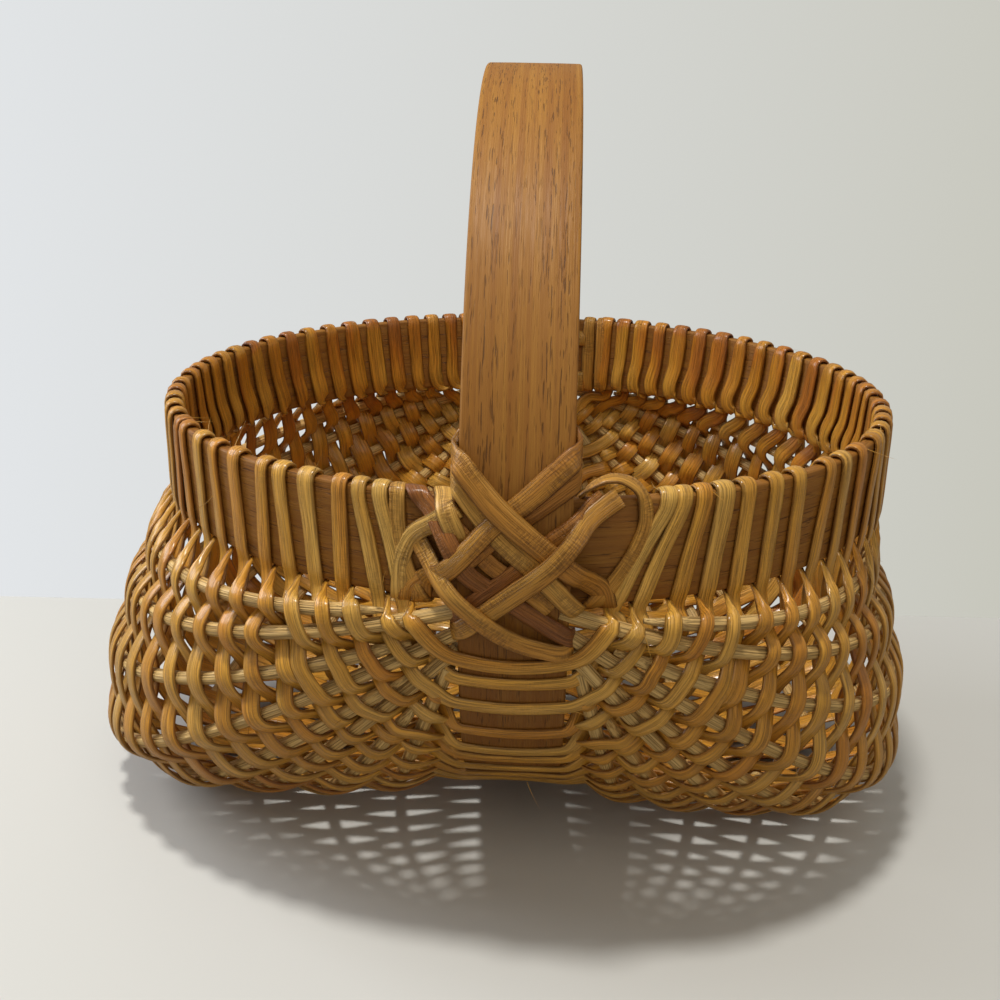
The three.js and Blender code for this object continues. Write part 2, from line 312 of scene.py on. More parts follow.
def make_piece(name, bundle, material, nodes):
    mesh = bpy.data.meshes.new(name)
    points = settled(np.concatenate(bundle.points)) * MM
    mesh.from_pydata(points.tolist(), [], bundle.faces)
    flow = np.concatenate(bundle.flow) * MM
    stored_flow = mesh.attributes.new("flow", "FLOAT_VECTOR", "POINT")
    stored_flow.data.foreach_set("vector", flow.astype(np.float32).ravel())
    for label, values in (("tone", bundle.tone), ("edge", bundle.edge)):
        stored_value = mesh.attributes.new(label, "FLOAT", "POINT")
        stored_value.data.foreach_set("value", np.concatenate(values).astype(np.float32))
    mesh.validate()
    mesh.shade_smooth()
    mesh.materials.append(material)
    piece = bpy.data.objects.new(name, mesh)
    bpy.context.scene.collection.objects.link(piece)
    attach(piece, "root")
    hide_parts(*nodes)


# %% [markdown]
# ## Shared shader groups
# Oak, rib reed, weaving reed and lashing reed are all wood fibre under a thin varnish, so they
# share two node groups. The first turns the stored flow into fibre: broad streaks, fine lines and
# slow blotches that all run along the piece, however it bends. The second gives the marks across
# the strip, where flat reed has been bent and its skin has creased. Each material then mixes its
# own colours with them.

# %% Helpers for the groups
def new_group(name, inputs, outputs):
    group = bpy.data.node_groups.new(name, "ShaderNodeTree")
    for label, value in inputs:
        socket = group.interface.new_socket(label, in_out="INPUT", socket_type="NodeSocketFloat")
        socket.default_value = value
    for label in outputs:
        group.interface.new_socket(label, in_out="OUTPUT", socket_type="NodeSocketFloat")
    group.nodes.new("NodeGroupInput")
    group.nodes.new("NodeGroupOutput")
    return group


def math_node(tree, operation, *values, clamp=False):
    inputs = dict(enumerate(values))
    return node(tree, "ShaderNodeMath", inputs, operation=operation, use_clamp=clamp).outputs[0]


def map_range(tree, value, low, high, to_low=0.0, to_high=1.0):
    return node(tree, "ShaderNodeMapRange", {
        "Value": value, "From Min": low, "From Max": high, "To Min": to_low, "To Max": to_high,
    }, interpolation_type="SMOOTHSTEP").outputs["Result"]


def stored(tree, label, output="Fac"):
    """What the sweep has stored on the points under this label."""
    return node(tree, "ShaderNodeAttribute", attribute_name=label).outputs[output]


def flow_noise(tree, flow, along, across, detail=2.0, roughness=0.5):
    """Noise whose features are along and across millimetres in size, in the flow of the fibre."""
    if isinstance(along, (int, float)):
        stretch = (1 / (along * MM), 1 / (across * MM), 1 / (across * MM))
    else:
        along = math_node(tree, "DIVIDE", 1 / MM, along)
        across = math_node(tree, "DIVIDE", 1 / MM, across)
        stretch = node(tree, "ShaderNodeCombineXYZ", {0: along, 1: across, 2: across}).outputs[0]
    scale = node(tree, "ShaderNodeVectorMath", {0: flow, 1: stretch}, operation="MULTIPLY")
    return node(tree, "ShaderNodeTexNoise", {
        "Vector": scale.outputs[0], "Scale": 1.0, "Detail": detail, "Roughness": roughness,
    }, noise_dimensions="3D").outputs["Fac"]


# %% Fibre group
fibre_group = new_group(
    "wood_fibre",
    [("Streak Length", 45.0), ("Streak Width", 1.2), ("Line Length", 14.0), ("Line Width", 0.28)],
    ["Streak", "Line", "Blotch"],
)
fibre_in = fibre_group.nodes["Group Input"].outputs
fibre_flow = stored(fibre_group, "flow", "Vector")
streak = flow_noise(fibre_group, fibre_flow, fibre_in["Streak Length"], fibre_in["Streak Width"],
                    3.0)
line = flow_noise(fibre_group, fibre_flow, fibre_in["Line Length"], fibre_in["Line Width"],
                  2.0, 0.6)
blotch = flow_noise(fibre_group, fibre_flow, 60.0, 9.0, 2.0)
plug(fibre_group, fibre_group.nodes["Group Output"], {
    "Streak": map_range(fibre_group, streak, 0.3, 0.7),
    "Line": map_range(fibre_group, line, 0.32, 0.68),
    "Blotch": map_range(fibre_group, blotch, 0.3, 0.7),
})

# %% Crease group
crease_group = new_group("skin_crease", [("Spacing", 0.5), ("Reach", 2.4)], ["Crease"])
crease_in = crease_group.nodes["Group Input"].outputs
crease_flow = stored(crease_group, "flow", "Vector")
crease = flow_noise(crease_group, crease_flow, crease_in["Spacing"], crease_in["Reach"], 1.0)
crease_lines = map_range(crease_group, crease, 0.35, 0.65)
patch = flow_noise(crease_group, crease_flow, 16.0, 5.0, 1.0)
patch_mask = map_range(crease_group, patch, 0.42, 0.62)
plug(crease_group, crease_group.nodes["Group Output"], {
    "Crease": math_node(crease_group, "MULTIPLY", crease_lines, patch_mask),
})
print("groups:", fibre_group.name, crease_group.name)

# %% Helpers for the materials
def place_group(tree, group, **values):
    inputs = {label.replace("_", " "): value for label, value in values.items()}
    return node(tree, "ShaderNodeGroup", inputs, node_tree=group).outputs


def stain(tree, colour, mask, share, tint):
    """Mix a share of a tint into a colour where the mask is bright."""
    return blend(tree, math_node(tree, "MULTIPLY", mask, share), colour, tint)


def new_material(name, coat, coat_roughness):
    material = bpy.data.materials.new(name)
    material.use_nodes = True
    tree = material.node_tree
    shader = tree.nodes["Principled BSDF"]
    plug(tree, shader, {
        "Specular IOR Level": 0.35, "Coat Weight": coat, "Coat Roughness": coat_roughness,
    })
    return material, tree, shader


def finish_material(tree, shader, colour, roughness, height, depth):
    bump = node(tree, "ShaderNodeBump", {"Height": height, "Distance": depth * MM, "Strength": 1.0})
    plug(tree, shader, {
        "Base Color": colour, "Roughness": roughness, "Normal": bump.outputs["Normal"],
    })


# %% [markdown]
# ## Oak for the hoops
# Oak is ring-porous: bands of open pores show as dark dashes along the grain, between smoother
# bands of dense summer wood. The dashes are noise stretched along the board and cut off hard, and
# a slower noise across the board decides where they crowd together. The boards carry painted
# shade that grows towards the bottom, so the rim and the keel are darker than the handle, and the
# tone stored along each board says how far.

# %% Oak material
oak, oak_tree, oak_shader = new_material("oak", 0.05, 0.35)
oak_fibre = place_group(oak_tree, fibre_group, Streak_Length=120.0, Streak_Width=2.2,
                        Line_Length=22.0, Line_Width=0.35)
oak_flow = stored(oak_tree, "flow", "Vector")
pore_noise = flow_noise(oak_tree, oak_flow, 7.0, 0.42, 1.0)
ring_noise = flow_noise(oak_tree, oak_flow, 400.0, 3.2, 1.0)
ring_mask = map_range(oak_tree, ring_noise, 0.38, 0.62)
pore_edge = map_range(oak_tree, pore_noise, 0.6, 0.7)
pore_share = math_node(oak_tree, "MULTIPLY_ADD", ring_mask, 0.75, 0.25)
pores = math_node(oak_tree, "MULTIPLY", pore_edge, pore_share)
oak_base = blend(oak_tree, oak_fibre["Streak"], paint(148, 95, 31), paint(173, 121, 45))
oak_base = stain(oak_tree, oak_base, oak_fibre["Line"], 0.45, paint(136, 86, 34))
oak_base = stain(oak_tree, oak_base, oak_fibre["Blotch"], 0.35, paint(168, 116, 48))
# painted shade: the stored tone darkens the lower boards towards a deep brown
oak_base = blend(oak_tree, stored(oak_tree, "tone"), oak_base, paint(112, 66, 16))
oak_colour = stain(oak_tree, oak_base, pores, 0.75, paint(84, 50, 18))
oak_rough = map_range(oak_tree, oak_fibre["Line"], 0.0, 1.0, 0.5, 0.66)
oak_lines = math_node(oak_tree, "MULTIPLY", oak_fibre["Line"], 0.35)
oak_height = math_node(oak_tree, "SUBTRACT", oak_lines, pores)
finish_material(oak_tree, oak_shader, oak_colour, oak_rough, oak_height, 0.18)
print("material:", oak.name)

# %% [markdown]
# ## Reed
# Round reed and flat reed are the core of the same vine. It is a bundle of straight fibres, pale
# where it is bare and honey gold where varnish has soaked in, and every length has its own tint,
# from straw to reddish brown. The tint comes from the tone stored on each strip. Flat reed is also
# painted darker along its edges: partly painted shade of the gaps between the rows, partly the
# reed's own rougher, darker edge.

# %% Rib reed material
rib_reed, rib_tree, rib_shader = new_material("rib_reed", 0.05, 0.4)
rib_fibre = place_group(rib_tree, fibre_group, Streak_Length=60.0, Streak_Width=0.9,
                        Line_Length=30.0, Line_Width=0.3)
rib_base = ramp(rib_tree, stored(rib_tree, "tone"),
                [(0.0, paint(226, 192, 126)), (1.0, paint(204, 158, 84))])
rib_base = stain(rib_tree, rib_base, rib_fibre["Streak"], 0.55, paint(236, 204, 140))
rib_dark = map_range(rib_tree, rib_fibre["Line"], 0.55, 1.0)
rib_colour = stain(rib_tree, rib_base, rib_dark, 0.6, paint(128, 84, 38))
rib_rough = map_range(rib_tree, rib_fibre["Line"], 0.0, 1.0, 0.45, 0.65)
rib_height = math_node(rib_tree, "SUBTRACT", rib_fibre["Streak"], rib_dark)
finish_material(rib_tree, rib_shader, rib_colour, rib_rough, rib_height, 0.3)

# %% Flat reed materials for the weave and the lashing
def flat_reed(name, stops, crease_share, coat):
    material, tree, shader = new_material(name, coat, 0.18)
    fibre = place_group(tree, fibre_group, Streak_Length=55.0, Streak_Width=1.0,
                        Line_Length=18.0, Line_Width=0.26)
    marks = place_group(tree, crease_group, Spacing=0.55, Reach=2.6)
    drift = math_node(tree, "MULTIPLY_ADD", fibre["Blotch"], 0.3, -0.15)
    colour = ramp(tree, math_node(tree, "ADD", stored(tree, "tone"), drift, clamp=True), stops)
    colour = stain(tree, colour, fibre["Streak"], 0.34, paint(152, 98, 34))
    fine = map_range(tree, fibre["Line"], 0.55, 1.0)
    colour = stain(tree, colour, fine, 0.36, paint(104, 62, 20))
    colour = stain(tree, colour, marks["Crease"], crease_share, paint(120, 78, 36))
    # partly painted shade: darker towards each reed's edges, as in the gaps between the rows, and
    # partly the reed's own rougher, darker edge
    edge = map_range(tree, stored(tree, "edge"), 0.72, 1.05, 0.0, 0.75)
    colour = blend(tree, edge, colour, paint(92, 46, 8))
    rough = map_range(tree, fibre["Blotch"], 0.0, 1.0, 0.3, 0.48)
    height = math_node(tree, "SUBTRACT", math_node(tree, "MULTIPLY", fibre["Streak"], 0.6), fine)
    creases = math_node(tree, "MULTIPLY", marks["Crease"], crease_share)
    height = math_node(tree, "SUBTRACT", height, creases)
    finish_material(tree, shader, colour, rough, height, 0.2)
    return material


weave_reed = flat_reed("weave_reed", [
    (0.0, paint(240, 193, 98)),
    (0.35, paint(232, 173, 66)),
    (0.62, paint(220, 151, 47)),
    (0.82, paint(200, 122, 36)),
    (1.0, paint(172, 104, 42)),
], 0.12, 0.4)
lashing_reed = flat_reed("lashing_reed", [
    (0.0, paint(236, 192, 104)),
    (0.35, paint(216, 160, 70)),
    (0.6, paint(196, 134, 52)),
    (0.85, paint(160, 100, 46)),
    (1.0, paint(138, 84, 44)),
], 0.5, 0.12)
print("materials:", rib_reed.name, weave_reed.name, lashing_reed.name)

# %% [markdown]
# ## The two hoops
# Each hoop is a flat oak board steamed and bent into a ring. A boxy ring would look sawn, so the
# section has eased edges and a face that is a touch crowned. The ring is left open where its ends
# meet: that joint sits under the lashing at the back, as the overlap of a real hoop does.

# %% Hoops
HOOP_X = 8.0
RIM_Z = 144.5
RIM_RADIUS = 125.0
RIM_STRETCH = 267 / 254  # the bellies spread the rim into an oval
HANDLE_RADIUS = 130.64
HANDLE_TURN = 0.0146  # the handle hoop stands a little turned, its front to the right
HOOP_HALF_WIDTH = 16.5
HOOP_HALF_THICK = 2.0
HOOP_STEPS = 180
HOOP_WOBBLE = 0.002
PAINTED_SHADE = 0.55  # painted shade: how much darker the rim and the keel are painted than the handle
PAINTED_SHADE_REACH = 30.0  # above and below the rim's middle, where the dark fades out


def board_section():
    """A flat board with eased edges and slightly crowned faces."""
    ease_wide, ease_thick, crown = 0.055, 0.42, 1.04
    corner = [math.radians(a) for a in (0, 30, 60, 90)]
    loop = []
    for turn in range(4):
        right = 1 if turn in (0, 3) else -1
        top = 1 if turn in (0, 1) else -1
        steps = corner if turn % 2 == 0 else corner[::-1]
        for a in steps:
            wide = right * (1 - ease_wide + ease_wide * math.cos(a))
            thick = top * (1 - ease_thick + ease_thick * math.sin(a))
            loop.append((wide, thick))
        if turn in (0, 2):
            loop.extend((right * w, top * crown) for w in (0.5, 0.0, -0.5))
    return loop


def hoop_path(radius, upright):
    start = math.pi / 2
    turn = start + np.linspace(0, 2 * np.pi, HOOP_STEPS + 1)
    flat = np.zeros_like(turn)
    if upright:
        out = np.stack([flat, np.sin(turn), -np.cos(turn)], 1)
    else:
        out = np.stack([np.cos(turn), np.sin(turn), flat], 1)
    wobble = 1 + HOOP_WOBBLE * np.sin(3 * turn + radius)
    stretch = (1 if upright else RIM_STRETCH, 1, 1)
    path = np.array([HOOP_X, 0, RIM_Z]) + out * stretch * radius * wobble[:, None]
    if upright:
        path[:, 0] -= HANDLE_TURN * path[:, 1]
    return path, out


for name, radius, upright, cad_node in (
    ("rim_board", RIM_RADIUS, False, "rim_hoop"),
    ("handle_board", HANDLE_RADIUS, True, "handle_hoop"),
):
    bundle = Bundle()
    path, out = hoop_path(radius, upright)
    # painted shade, darker towards the bottom of each board
    painted_shade = PAINTED_SHADE * np.clip((RIM_Z + PAINTED_SHADE_REACH - path[:, 2]) / (2 * PAINTED_SHADE_REACH), 0, 1)
    sweep(bundle, path, out, board_section(), HOOP_HALF_WIDTH, HOOP_HALF_THICK, len(name), painted_shade)
    make_piece(name, bundle, oak, [cad_node])
    print(name, "radius", radius)

# %% [markdown]
# ## Ribs
# The ribs are round reed. Each one starts beside the keel near the front crossing, swells out to
# the outline of its belly halfway and returns to the back crossing. Seen from the front, half of
# such a rib is close to a quarter of an ellipse, so a cubic Bezier curve with round handles gives
# it. The outline is the same list of points as in the CAD part. Every second rib is a main rib
# that reaches right under the lashing. The ribs between are slipped in later, when there is room,
# and their ends are sharpened.

# %% Rib curves
RIB_RADIUS = 2.35
RIBS = range(1, 9)
BELLY_HALF_WIDTH = 157.5
BELLY_FLOOR = 4.1
RIM_BOTTOM = RIM_Z - HOOP_HALF_WIDTH
RIB_PLACE = dict(zip(RIBS, (0.085, 0.177, 0.3, 0.455, 0.58, 0.7, 0.82, 0.94)))
SEAT_DEGREES = dict(zip(RIBS, (7.6, 8.7, 12, 13, 16, 17, 20, 21)))
SEAT_SIDE = HOOP_HALF_WIDTH + RIB_RADIUS + 3.35
ROUND_HANDLE = 0.5523
LEFT_TUCK = 0.05  # the left belly is a little flatter below the rim than the right one
BELLY_CENTRE = np.array([0, 0, 87.0])  # every wall of the basket faces away from here
BELLY_OUTLINE = np.array([
    (0.815, 1.0), (0.885, 0.84), (0.952, 0.6), (0.993, 0.37), (0.995, 0.18),
    (0.915, 0.04), (0.73, 0.0), (0.44, 0.0), (0.2, 0.05),
])
FINE_SAMPLES = 400
OUTLINE_SAMPLES = 401
HALF_SAMPLES = 200


def smooth_through(points, samples):
    """A Catmull-Rom curve through the points, as many even samples as asked."""
    points = np.asarray(points, float)
    padded = np.concatenate([[2 * points[0] - points[1]], points, [2 * points[-1] - points[-2]]])
    t = np.linspace(0, len(points) - 1, FINE_SAMPLES)
    k = np.minimum(t.astype(int), len(points) - 2)
    u = (t - k)[:, None]
    a, b, c, d = (padded[k + i] for i in range(4))
    fine = 0.5 * (2 * b + (c - a) * u + (2 * a - 5 * b + 4 * c - d) * u**2
                  + (3 * b - a - 3 * c + d) * u**3)
    return resample(fine, samples)


def resample(path, samples):
    length = arc_length(path)
    return walk(path, length, np.linspace(0, length[-1], samples))


def walk(path, length, wanted):
    """The places on a path at the wanted distances; length holds the distance of each point."""
    return np.stack([np.interp(wanted, length, column) for column in path.T], -1)


def arc_length(path):
    return np.concatenate([[0], np.cumsum(np.linalg.norm(np.diff(path, axis=0), axis=1))])


belly = smooth_through(BELLY_OUTLINE, OUTLINE_SAMPLES)
belly = belly * (BELLY_HALF_WIDTH, RIM_BOTTOM - BELLY_FLOOR) + (0, BELLY_FLOOR)
belly = resample(belly, OUTLINE_SAMPLES)


def keel_place(angle, end, right):
    """A place on the handle hoop, an angle below the rim; end is -1 at the front, 1 at the back."""
    y = end * HANDLE_RADIUS * math.cos(angle)
    height = RIM_Z - HANDLE_RADIUS * math.sin(angle)
    return np.array([HOOP_X + right - HANDLE_TURN * y, y, height])


def rib_half(side, number, end):
    """Points from the seat beside the keel to the middle of a rib."""
    angle = math.radians(SEAT_DEGREES[number])
    seat = keel_place(angle, end, side * SEAT_SIDE)
    wide, high = belly[round(RIB_PLACE[number] * (len(belly) - 1))]
    if side < 0:
        wide = wide * (1 - LEFT_TUCK * (high / RIM_BOTTOM)**2)
    middle = np.array([side * wide + HOOP_X * (1 - wide / BELLY_HALF_WIDTH), 0, high])
    drop = (seat[2] - middle[2]) * ROUND_HANDLE
    leave = seat + ((middle[0] - seat[0]) * ROUND_HANDLE,
                    -end * drop * math.sin(angle), -drop * math.cos(angle))
    arrive = middle + (0, seat[1] * ROUND_HANDLE, 0)
    t = np.linspace(0, 1, HALF_SAMPLES)[:, None]
    u = 1 - t
    return u**3 * seat + 3 * u**2 * t * leave + 3 * u * t**2 * arrive + t**3 * middle


def rib_curve(side, number):
    """Points of a rib from its front seat to its back seat."""
    return np.concatenate([rib_half(side, number, -1), rib_half(side, number, 1)[-2::-1]])


# %% Rows of the weave, from the front crossing to the back one
ROWS = 66
ROW_START = 31.0
RIM_LENGTH = math.pi * (RIM_RADIUS + HOOP_HALF_THICK)
RIM_CROWDING = (0.704, 0.726, -0.43)  # shares of t, its square and its cube
RIB_CROWDING = (0.0, 1.21, -0.21)
KEEL_ROWS = (1, 3, 5, 7, 9, 11, 33.5)
KEEL_DEGREES = (15, 18.5, 23.5, 29.5, 35, 38.2, 90)
FIRST_ROW = {2: 1, 4: 1, 6: 3, 8: 5, 1: 5, 3: 5, 5: 7, 7: 9}
SPLIT_ROW = 11
BACK_SPLIT_ROW = 5
REED_HALF_WIDTH = 2.7
FULL_COVER = 1.04  # share of the space between rows that the reed fills where it can
BACK_COVER = 1.18  # the back half is woven tighter
BACK_LEAST = 0.86  # and with narrower reed beside its crossing
WIDEST = 1.55
SEAT_SLANT = 0.75  # share of the way out to a rib's seat that counts as length of its path
LEAST_ROOM = 3.0  # from a rib's end to its first row
TANGENT_REACH = 2.0


def from_end(row):
    return min(row, ROWS + 1 - row)


def at_front(row):
    return row <= ROWS / 2


def crowd(shares, t):
    return shares[0] * t + shares[1] * t**2 + shares[2] * t**3


def row_distance(length, row):
    """Distance of a row from the front crossing, on a path of this length between crossings.
    Rows crowd together near the crossings, where every path has them at the same distance, and
    open out towards the middle, most of all on the longest ribs."""
    t = (from_end(row) - 0.5) / (ROWS / 2)
    near = ROW_START + crowd(RIM_CROWDING, t) * (RIM_LENGTH / 2 - ROW_START)
    near += (length - RIM_LENGTH) / 2 * crowd(RIB_CROWDING, t)
    return near if at_front(row) else length - near


def row_spread(length, row):
    """How wide a reed may lie where a row crosses a path, as a share of its usual width."""
    near = min(max(row, 2), ROWS - 1)
    pitch = (row_distance(length, near + 1) - row_distance(length, near - 1)) / 2
    least = 1.0
    if not at_front(row):
        pitch, least = pitch * BACK_COVER, BACK_LEAST
    return float(np.clip(FULL_COVER * pitch / (2 * REED_HALF_WIDTH), least, WIDEST))


class Rib:
    def __init__(self, side, number):
        self.number = number
        self.path = rib_curve(side, number)
        self.length = arc_length(self.path)
        climb = math.radians(SEAT_DEGREES[number]) * HANDLE_RADIUS
        self.seat = math.hypot(climb, SEAT_SIDE * SEAT_SLANT)
        self.total = self.length[-1] + 2 * self.seat

    def at(self, distance):
        steps = distance + np.array([-TANGENT_REACH, 0.0, TANGENT_REACH])
        behind, place, ahead = walk(self.path, self.length, steps)
        return place, unit(ahead - behind)

    def crossing(self, row, jitter):
        """Where a row crosses the rib, or None if the rib isn't there yet."""
        distance = row_distance(self.total, row) + jitter - self.seat
        room = min(distance, self.length[-1] - distance)
        if from_end(row) < FIRST_ROW[self.number] or room < LEAST_ROOM:
            return None
        place, along = self.at(distance)
        return place, along, row_spread(self.total, row)


ribs = {side: [Rib(side, number) for number in RIBS] for side in (-1, 1)}
print("ribs:", [round(rib.length[-1]) for rib in ribs[-1]])

# %% Rods for the ribs
ROD_STEP = 2.5
MAIN_REACH = 9.0  # a main rib runs on past its seat
SLIM_REACH = 9.0  # the others begin this far before their first row
SLIM_TAPER = 14.0
SLIM_TIP = 0.35
ROD_UNEVEN, ROD_WAVE = 0.03, 17.0


def round_section(sides):
    return [(math.cos(a), math.sin(a)) for a in np.linspace(0, 2 * np.pi, sides, endpoint=False)]


def rib_rod(rib):
    """The length of reed for one rib: a main rib reaches past its seat, the rest are sharpened."""
    main = rib.number % 2 == 0
    first = row_distance(rib.total, FIRST_ROW[rib.number]) - rib.seat
    low = 0.0 if main else max(first - SLIM_REACH, 0)
    path = walk(rib.path, rib.length, np.arange(low, rib.length[-1] - low + 0.1, ROD_STEP))
    if main:
        steps = np.linspace(MAIN_REACH, ROD_STEP, 4)[:, None]
        head = path[0] + unit(path[0] - path[1]) * steps
        tail = path[-1] + unit(path[-1] - path[-2]) * steps[::-1]
        path = np.concatenate([head, path, tail])
    run = arc_length(path)
    to_end = np.minimum(run, run[-1] - run)
    radius = np.full(len(path), RIB_RADIUS)
    if not main:
        radius = RIB_RADIUS * np.clip(SLIM_TIP + (1 - SLIM_TIP) * to_end / SLIM_TAPER, SLIM_TIP, 1)
    rng = np.random.default_rng(rib.number)
    radius = radius * (1 + ROD_UNEVEN * np.sin(run / ROD_WAVE + rng.uniform(0, 6)))
    return path, radius


for side, side_name in ((-1, "left"), (1, "right")):
    for rib in ribs[side]:
        rng = np.random.default_rng(100 * rib.number + side)
        bundle = Bundle()
        path, radius = rib_rod(rib)
        seed, tone = rng.uniform(0, 60), rng.uniform(0.1, 0.9)
        sweep(bundle, path, path - BELLY_CENTRE, round_section(12), radius, radius, seed, tone)
        make_piece(f"{side_name}_rod_{rib.number}", bundle, rib_reed,
                   [f"rib_{side_name}_{rib.number}"])
print("rods made:", 2 * len(RIBS))

# %% [markdown]
# ## The weave
# One flat reed goes over one rib and under the next, all the way from rim to rim, hooks over the
# rim and comes back. Its path is set by stations: one on each rib, standing off to the inside or
# the outside by the thickness of rib and reed, two on the keel and a few round the rim. Between
# stations a Hermite curve gives the soft wave of bent reed. Straight runs would be stiff, and a
# simulation of the weaving would be slow and no truer.
#
# On the inside of the rim the reed lies with its rounded face towards the hand. To come out over
# the first rib it must turn round, so it stands on edge just under the rim. Those pinched turns
# are the row of little spikes below the rim.

# %% Stations and ribbons
REED_HALF_THICK = 0.7
REED_SECTION = [
    (1.0, -0.25), (0.86, 0.5), (0.5, 0.88), (0.0, 1.0), (-0.5, 0.88),
    (-0.86, 0.5), (-1.0, -0.25), (-0.84, -0.95), (0.0, -1.0), (0.84, -0.95),
]
SAMPLE = 2.2
BEND = 1.05  # how far a reed swings between its stations
UNEVEN = ((0.05, 23.0), (0.04, 7.3))  # waves in its width: share and length


def ribbon(bundle, stations, width, seed):
    """A reed through stations of (point, outward, lies_flat, width share, tone)."""
    points = np.array([s[0] for s in stations], float)
    outs = unit(np.array([s[1] for s in stations], float))
    shares = np.array([s[3:] for s in stations], float)
    heading = np.empty_like(points)
    heading[1:-1] = points[2:] - points[:-2]
    heading[0] = points[1] - points[0]
    heading[-1] = points[-1] - points[-2]
    for k, station in enumerate(stations):
        if station[2]:
            heading[k] -= outs[k] * heading[k].dot(outs[k])
    heading = unit(heading)
    path, out, wide = [], [], []
    for k in range(len(points) - 1):
        chord = np.linalg.norm(points[k + 1] - points[k])
        count = max(2, math.ceil(chord / SAMPLE))
        t = np.arange(count)[:, None] / count
        ease = t * t * (3 - 2 * t)
        first = points[k] * (1 - ease) + points[k + 1] * ease
        bend = heading[k] * (t * (1 - t)**2) - heading[k + 1] * (t * t * (1 - t))
        path.append(first + bend * chord * BEND)
        out.append(outs[k] * (1 - ease) + outs[k + 1] * ease)
        wide.append(shares[k] * (1 - ease) + shares[k + 1] * ease)
    path.append(points[-1:])
    out.append(outs[-1:])
    wide.append(shares[-1:])
    path = np.concatenate(path)
    rng = np.random.default_rng(int(seed * 1000))
    run = arc_length(path)
    uneven = 1 + sum(share * np.sin(run / wave + rng.uniform(0, 6)) for share, wave in UNEVEN)
    wide = np.concatenate(wide)
    half_width = width * wide[:, 0] * uneven
    sweep(bundle, path, np.concatenate(out), REED_SECTION, half_width, REED_HALF_THICK, seed,
          wide[:, 1])


# %% Tones: each length of reed lasts for a row or a few before the next is spliced in
LEAST_TONE, TONE_RANGE = 0.1, 0.62
TONE_SPREAD = (1.6, 2.0)
MOST_ROWS = 3  # from one length
tone_rng = np.random.default_rng(7)
tones = [0.4]
while len(tones) <= ROWS:
    tone = LEAST_TONE + TONE_RANGE * tone_rng.beta(*TONE_SPREAD)
    tones.extend([tone] * int(tone_rng.integers(1, MOST_ROWS + 1)))
print("lengths of reed:", len(set(tones)))

# %% The rim end of a row
RIM_TOP = RIM_Z + HOOP_HALF_WIDTH
WRAP_STAND = HOOP_HALF_THICK + 0.2 + REED_HALF_THICK
WRAP_WIDTH = 1.1
HOOK_WIDTH = 1.12
INNER_WRAP = ((0.75, RIM_BOTTOM + 3), (0.3, RIM_Z), (0.03, RIM_TOP - 3.5))  # drift, height
HOOK = ((-0.8, 0, RIM_TOP + 0.5), (0, 0, RIM_TOP + 1.5), (0.8, 0.02, RIM_TOP + 0.3))
OUTER_WRAP = ((0.08, RIM_TOP - 4), (0.5, RIM_Z), (0.88, RIM_BOTTOM + 3))
WRAP_TOPS = {
    -1: (37.1, 43.7, 49.8, 61.5, 71.6, 78.8, 92.2, 103.9, 114.5, 128),
    1: (45.1, 49.8, 55.9, 62.8, 70.7, 81.1, 90.8, 106, 115.3, 126.6, 141.5),
}
BESIDE_TURN = 2.0
TURN_PULL = 2.0  # a turn lies this much nearer to its crossing than the row below it
EARLY_PULL = 5.0  # and the first rows more
TURN_STAND, TURN_DROP = 0.4, 1.0  # outside the rim's middle, below its lower edge
LEAVE_STAND, LEAVE_DROP = 2.4, 3.5  # the same, where an even row leaves the rim
TURN_WIDTH = 0.24  # share of the reed's width that shows where it stands on edge
BACK_TURN_WIDTH = 0.62
BACK_SLANT = 0.06  # inside the back rim the reeds lean towards the crossing
WRAP_SHADE_PLACES = (0.0, 0.3, 0.75)  # shares of the way from the front crossing to the back one
WRAP_SHADE_TONES = (-0.1, 0.0, 0.34)  # painted light and shade: the wraps are painted lighter at the front and darker towards the back
UP = np.array([0.0, 0.0, 1.0])


def rim_point(side, distance, radius, height):
    angle = distance / (RIM_RADIUS + HOOP_HALF_THICK)
    out = np.array([side * math.sin(angle), -math.cos(angle), 0.0])
    along = np.array([side * math.cos(angle), math.sin(angle), 0.0])
    return out * (RIM_STRETCH, 1, 1) * radius + (HOOP_X, 0, height), out, along


def partner(side, row):
    """The row that shares a hook over the rim with this one, or 0 at the two loose ends."""
    step = 1 if (row % 2 == 0) == (side < 0) else -1
    return row + step if 1 <= row + step <= ROWS else 0


def wrap_bottom(row):
    """Distance along the rim at which an even row leaves the rim's lower edge, beside a turn."""
    if at_front(row):
        return turn_place(row - 1) + BESIDE_TURN
    return row_distance(RIM_LENGTH, row)


def wrap_top(side, row):
    """Distance along the rim at which the hook of an even row goes over the rim's upper edge."""
    order = row // 2 - 1
    if order < len(WRAP_TOPS[side]):
        return WRAP_TOPS[side][order]
    return wrap_bottom(row)


def turn_place(row):
    """Distance along the rim of an odd row's turn, above its crossing of the first rib."""
    pull = EARLY_PULL if from_end(row) < FIRST_ROW[1] else TURN_PULL
    return row_distance(RIM_LENGTH, row) + (-pull if at_front(row) else pull)


def pinch(side, row):
    """The turn of an odd row under the rim, where the reed stands on edge."""
    place = turn_place(row)
    point, out, along = rim_point(side, place, RIM_RADIUS + TURN_STAND, RIM_BOTTOM - TURN_DROP)
    if at_front(row):
        return point, 0.1 * out - along, False, TURN_WIDTH, tones[row]
    return point, 0.8 * out + along, False, BACK_TURN_WIDTH, tones[row]


